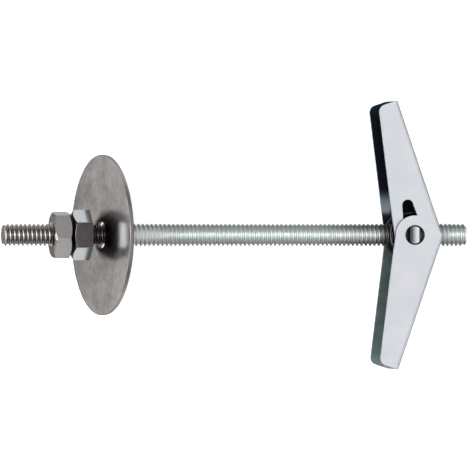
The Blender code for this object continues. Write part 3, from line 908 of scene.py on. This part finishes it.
class FIXING_OT_wings(bpy.types.Operator):
    """Model one folded wing and use it twice, the second turned half round about the rod"""
    bl_idname = "fixing.wings"
    bl_label = "Wings"

    def execute(self, context):
        settings = context.scene.fixing_wing
        self.finishes = [wing_finish(settings), inside_finish(settings)]
        lower = self.model(settings)
        lower.name = "lower_wing_channel"
        upper = lower.copy()
        upper.data = lower.data.copy()
        upper.name = "upper_wing_channel"
        context.scene.collection.objects.link(upper)
        lean = Matrix.Rotation(settings.lean, 4, "Z")
        at_pin = ROD_FRAME @ Matrix.Translation(PIVOT)
        put(upper, at_pin @ lean)
        put(lower, at_pin @ Matrix.Rotation(math.pi, 4, "X") @ lean)
        for wing, node in ((upper, "upper_wing"), (lower, "lower_wing")):
            round_off(wing, settings.edge)
            dress(wing, None, node, [node])
        return {"FINISHED"}

    def outline(self, bm, s):
        """The flanges' outline about the pin: X runs out to the web, Y runs to the tip."""
        corner = Vector((s.web - s.tip, s.length))
        touch = math.atan2(corner.y, corner.x) + math.acos(s.lug / corner.length)
        apex_y = (s.gap / 2 - s.web * math.sin(s.lean)) / math.cos(s.lean)
        apex = Vector((s.web, apex_y))
        leave = math.atan2(apex.y, apex.x) - math.acos(s.lug / apex.length) + math.tau
        back_tip = bm.verts.new((s.web, s.length, 0))
        front_tip = bm.verts.new((*corner, 0))
        lug_start = bm.verts.new(lug_point(s.lug, touch))
        lug_end = swing(bm, lug_start, (0, 0), leave - touch, 48)
        apex = bm.verts.new((*apex, 0))
        for pair in ((lug_end, apex), (apex, back_tip), (back_tip, front_tip), (front_tip, lug_start)):
            bm.edges.new(pair)
        bmesh.ops.contextual_create(bm, geom=bm.edges[:])
        # The offset that gives the corner its radius depends on how sharp the corner is
        edge = Vector(lug_start.co.xy) - corner
        half = edge.angle(Vector((1, 0))) / 2
        bmesh.ops.bevel(bm, geom=[front_tip], offset=s.tip_corner / math.tan(half),
                        offset_type="OFFSET", affect="VERTICES", segments=10, profile=0.5, material=-1)

    def model(self, s):
        """One wing about its pin: a solid that is hollowed to a channel, trimmed, notched and pierced."""
        low = -s.width / 2
        outer_in = s.width / 2 - s.sheet
        inner_out = outer_in - s.gap
        inner_in = inner_out - s.sheet
        far = 2 * s.length
        bm = bmesh.new()
        self.outline(bm, s)
        bmesh.ops.translate(bm, vec=(0, 0, low), verts=bm.verts)
        extrude_flat(bm, inner_out - low)
        bevel(bm, folds_at(bm, s.web, (low, inner_out)), s.bend, 10)
        wing = closed("wing", bm)
        for finish in self.finishes:
            wing.data.materials.append(finish)

        web_in = s.web - s.sheet
        bm = block((-far, -far, -outer_in), (web_in, far, inner_in))
        bevel(bm, folds_at(bm, web_in, (-outer_in, inner_in)), s.bend - s.sheet, 4)
        for face in bm.faces:
            face.material_index = 1
        combine(wing, closed("channel", bm))
        combine(wing, self.apex_trim(s, outer_in, far))

        notch_end = (s.notch - web_in * math.sin(s.lean)) / math.cos(s.lean)
        bm = block((s.lug, -far, -s.notch), (far, notch_end, s.notch))
        bevel(bm, edges_where(bm, lambda co: near(co.y, notch_end)), s.notch_corner, 6)
        combine(wing, closed("notch", bm))
        combine(wing, drum(s.hole, -far, far))
        combine(wing, self.slot(s, far))
        return wing

    def apex_trim(self, s, outer_in, far):
        """Takes the web and the inner flange back to the plane where the wings meet, round lug apart."""
        meet = -s.lean + math.asin(s.gap / 2 / s.lug)
        bm = bmesh.new()
        start = bm.verts.new(lug_point(s.lug, meet))
        end = swing(bm, start, (0, 0), -math.radians(100), 20)
        step = Vector((math.sin(s.lean), math.cos(s.lean), 0)) * s.gap / 2
        out = bm.verts.new(Vector((math.cos(s.lean), -math.sin(s.lean), 0)) * far + step)
        below = bm.verts.new((out.co.x, -far, 0))
        under = bm.verts.new((end.co.x, -far, 0))
        for pair in ((start, out), (out, below), (below, under), (under, end)):
            bm.edges.new(pair)
        bmesh.ops.contextual_create(bm, geom=bm.edges[:])
        bmesh.ops.translate(bm, vec=(0, 0, -outer_in), verts=bm.verts)
        extrude_flat(bm, far)
        return closed("trim", bm)

    def slot(self, s, far):
        """The tear-drop: the ear hole and a smaller round end, joined by their common tangents."""
        offset = Vector((s.slot_across, s.slot_along, 0))
        heading = math.atan2(offset.y, offset.x)
        spread = math.acos((s.hole - s.slot) / offset.length)
        bm = bmesh.new()
        big = bm.verts.new(lug_point(s.hole, heading + spread))
        big_end = swing(bm, big, (0, 0), math.tau - 2 * spread, 40)
        small = bm.verts.new(offset + Vector(lug_point(s.slot, heading - spread)))
        small_end = swing(bm, small, offset.xy, 2 * spread, 24)
        bm.edges.new((big_end, small))
        bm.edges.new((small_end, big))
        bmesh.ops.contextual_create(bm, geom=bm.edges[:])
        extrude_flat(bm, far)
        return closed("slot", bm)


class FIXING_OT_cross_nut(bpy.types.Operator):
    """Model the cross nut: a drum across the rod, its threaded hole and its two flat ears"""
    bl_idname = "fixing.cross_nut"
    bl_label = "Cross nut"

    def execute(self, context):
        s = context.scene.fixing_cross_nut
        nut = drum(s.radius, -s.half, s.half, 96)
        ears = drum(s.ear, -s.ear_reach, s.ear_reach)
        flats = s.ear_flat / 2
        far = 2 * s.ear_reach
        combine(ears, closed("flats", block((-flats, -far, -far), (flats, far, far))), "INTERSECT")
        combine(nut, ears, "UNION")
        combine(nut, bar(s.bore / 2, -s.radius, s.radius, s.countersink))
        nut.name = "cross_nut"
        round_off(nut, s.edge)
        put(nut, ROD_FRAME @ Matrix.Translation(PIVOT))
        dress(nut, cross_nut_finish(s), "toggle_head", ["trunnion_nut"])
        return {"FINISHED"}


class FIXING_OT_spring(bpy.types.Operator):
    """Model the torsion spring: two coils on the drum, free legs on one wing, a loop on the other"""
    bl_idname = "fixing.spring"
    bl_label = "Torsion spring"

    def execute(self, context):
        s = context.scene.fixing_spring
        self.s = s
        self.lean = context.scene.fixing_wing.lean
        material = wire_finish(s)
        place = ROD_FRAME @ Matrix.Translation(PIVOT)
        coil, leg, loop = self.coil(), self.leg(), self.loop()
        pieces = [
            ("spring_coil_upper", coil, s.coil_share, "toggle_head"),
            ("spring_coil_lower", self.flipped(coil), s.coil_share, "toggle_head"),
            ("spring_leg_upper", leg, 1, "upper_wing"),
            ("spring_leg_lower", self.flipped(leg), 1, "upper_wing"),
            ("spring_loop", loop + self.flipped(loop)[::-1], 1, "lower_wing"),
        ]
        for name, path, part, body in pieces:
            wire = self.wire(name, path, s.wire / 2 * part)
            put(wire, place)
            replaced = ["torsion_spring"] if body == "toggle_head" else []
            dress(wire, material, body, replaced)
        return {"FINISHED"}

    def flipped(self, path):
        return [Vector((point.x, point.y, -point.z)) for point in path]

    def on_coil(self, turn, height):
        return Vector((self.s.radius * math.cos(turn), self.s.radius * math.sin(turn), height))

    def arc(self, start, end, height):
        steps = math.ceil(abs(end - start) / math.radians(5))
        return [self.on_coil(start + (end - start) * k / steps, height) for k in range(steps + 1)]

    def straight(self, turn, side, height, reach):
        along = Vector((-math.sin(turn), math.cos(turn), 0)) * side
        return [self.on_coil(turn, height) + along * reach * k / 6 for k in range(1, 7)]

    def coil(self):
        """From the free leg's side once round the drum, stepping in from the outer to the inner pass."""
        start, end = self.lean, -math.tau - self.lean
        step_from, step_to = self.lean - FOLD, FOLD - self.lean - math.tau
        outer, inner = self.s.outer_pass, self.s.inner_pass
        steps = 90
        path = []
        for k in range(steps + 1):
            turn = start + (end - start) * k / steps
            part = min(max((step_from - turn) / (step_from - step_to), 0), 1)
            part = part * part * (3 - 2 * part)
            path.append(self.on_coil(turn, outer + (inner - outer) * part))
        return path

    def leg(self):
        """A free leg and the stretch of coil that it winds off as its wing folds."""
        wound = self.arc(self.lean - FOLD, self.lean, self.s.outer_pass)
        return wound + self.straight(self.lean, 1, self.s.outer_pass, self.s.free_leg)

    def loop(self):
        """Half of the loop, from the stretch of coil that it winds off to its middle."""
        height, corner = self.s.inner_pass, self.s.loop_corner
        reach = self.s.loop_leg - corner
        path = self.arc(FOLD - self.lean, -self.lean, height)
        path += self.straight(-self.lean, -1, height, reach)
        along = Vector((-math.sin(self.lean), -math.cos(self.lean), 0))
        for k in range(1, 9):
            turn = RIGHT_ANGLE * k / 8
            path.append(self.on_coil(-self.lean, height - corner * (1 - math.cos(turn)))
                        + along * (reach + corner * math.sin(turn)))
        return path

    def wire(self, name, path, radius):
        """A closed round wire along a path."""
        curve = bpy.data.curves.new(name, "CURVE")
        curve.dimensions = "3D"
        curve.bevel_depth = radius
        curve.bevel_resolution = 4
        curve.use_fill_caps = True
        spline = curve.splines.new("POLY")
        spline.points.add(len(path) - 1)
        for point, place in zip(spline.points, path):
            point.co = (*place, 1.0)
        obj = bpy.data.objects.new(name, curve)
        bpy.context.scene.collection.objects.link(obj)
        bpy.context.view_layer.update()
        mesh = bpy.data.meshes.new_from_object(obj.evaluated_get(bpy.context.evaluated_depsgraph_get()))
        bpy.data.objects.remove(obj)
        # A curve's end caps aren't joined to its sides
        bm = bmesh.new()
        bm.from_mesh(mesh)
        return closed(name, bm)


class FIXING_OT_stage(bpy.types.Operator):
    """Lay a plain pale floor and set the soft light and the camera"""
    bl_idname = "fixing.stage"
    bl_label = "Stage"

    def execute(self, context):
        settings = context.scene.fixing_stage
        self.floor(settings)
        self.card(settings)
        self.light(context, settings)
        self.camera(context, settings)
        context.scene.view_settings.view_transform = "Standard"
        if context.scene.camera is None or context.scene.world is None:
            raise RuntimeError("the stage has no camera or no light")
        return {"FINISHED"}

    def floor(self, settings):
        bm = bmesh.new()
        bmesh.ops.create_grid(bm, x_segments=1, y_segments=1, size=settings.floor_size)
        floor = new_object("floor", bm)
        finish = Finish("floor_paper")
        coordinates = finish.add("ShaderNodeTexCoord")
        grain = finish.noise(coordinates.outputs["Object"], 8.0)
        base = finish.mottled(grain, settings.floor_colour, 0.995, 1.005)
        finish.feed(finish.shader, {"Emission Color": WHITE, "Emission Strength": settings.glow})
        floor.data.materials.append(finish.metal(base, 0.9, metallic=0.0))

    def light(self, context, settings):
        """Light from all round: more over the rod and just above the floor, less beyond the toggle."""
        world = bpy.data.worlds.new("studio")
        context.scene.world = world
        sky = Nodes(world)
        coordinates = sky.add("ShaderNodeTexCoord")
        along, side, up = sky.parts(coordinates.outputs["Generated"])
        over = sky.fade(abs(side), 0.80, 0.45)
        low = sky.fade(up, 0.45, 0.10)
        behind = sky.fade(along, 0.75, 0.97)
        bright = settings.surround + settings.overhead * over + settings.low_band * low
        bright = bright * (1.0 - 0.65 * behind)
        # A brighter lamp over the nuts' side
        lamp_along, lamp_side = -0.44, 0.05
        lamp = sky.fade(abs(along - lamp_along), 0.17, 0.10) * sky.fade(abs(side - lamp_side), 0.20, 0.12)
        bright = bright + settings.lamp * lamp * sky.fade(up, 0.2, 0.6)
        sky.feed(sky.tree.nodes["Background"], {"Color": bright, "Strength": 1.0})

    def card(self, settings):
        """A dark card out of the picture, which the inner nut's upper flat mirrors."""
        bm = bmesh.new()
        bmesh.ops.create_grid(bm, x_segments=1, y_segments=1, size=0.5)
        wide = settings.card_high - settings.card_low
        bmesh.ops.scale(bm, vec=(wide, 1.6 * wide, 1.0), verts=bm.verts)
        middle = (settings.card_low + settings.card_high) / 2
        bmesh.ops.translate(bm, vec=(middle, settings.card_side, settings.card_height), verts=bm.verts)
        card = new_object("dark_card", bm)
        finish = Finish("card_paper")
        grain = finish.noise(finish.place(), 0.05)
        base = finish.mottled(grain, settings.card_colour, 0.83, 1.17)
        card.data.materials.append(finish.metal(base, 0.9, metallic=0.0))

    def camera(self, context, settings):
        lens = bpy.data.cameras.new("camera")
        lens.lens = lens.sensor_width * settings.distance / settings.frame_width
        lens.clip_start = 0.05
        lens.clip_end = 20.0
        camera = bpy.data.objects.new("camera", lens)
        context.scene.collection.objects.link(camera)
        back = Vector((-math.sin(settings.view_angle), 0, math.cos(settings.view_angle)))
        middle = Vector((sum(ROD_SPAN) / 2, 0, 0))
        side = Vector((0, 1, 0))
        across = side.cross(back)
        turn = Matrix((across, side, back)).transposed().to_4x4()
        camera.matrix_world = ROD_FRAME @ Matrix.Translation(middle + back * settings.distance) @ turn
        context.scene.camera = camera


OPERATORS = (FIXING_OT_rod, FIXING_OT_nuts, FIXING_OT_washer, FIXING_OT_wings, FIXING_OT_cross_nut,
             FIXING_OT_spring, FIXING_OT_stage)


class FIXING_PT_panel(bpy.types.Panel):
    """Lists the fixing's pieces in the 3D view's sidebar"""
    bl_label = "Spring toggle fixing"
    bl_idname = "FIXING_PT_panel"
    bl_space_type = "VIEW_3D"
    bl_region_type = "UI"
    bl_category = "Fixing"

    def draw(self, context):
        for operator in OPERATORS:
            self.layout.operator(operator.bl_idname, text=operator.bl_label)
        for name, group in PROPERTY_GROUPS.items():
            box = self.layout.box()
            for field in group.__annotations__:
                box.prop(getattr(context.scene, name), field)


def register():
    for name, group in PROPERTY_GROUPS.items():
        bpy.utils.register_class(group)
        setattr(bpy.types.Scene, name, bpy.props.PointerProperty(type=group))
    for item in (*OPERATORS, FIXING_PT_panel):
        bpy.utils.register_class(item)


def unregister():
    for item in (FIXING_PT_panel, *reversed(OPERATORS)):
        bpy.utils.unregister_class(item)
    for name, group in PROPERTY_GROUPS.items():
        delattr(bpy.types.Scene, name)
        bpy.utils.unregister_class(group)


def main():
    register()
    bpy.ops.fixing.rod()
    bpy.ops.fixing.nuts()
    bpy.ops.fixing.washer()
    bpy.ops.fixing.wings()
    bpy.ops.fixing.cross_nut()
    bpy.ops.fixing.spring()
    bpy.ops.fixing.stage()


if __name__ == "__main__":
    main()
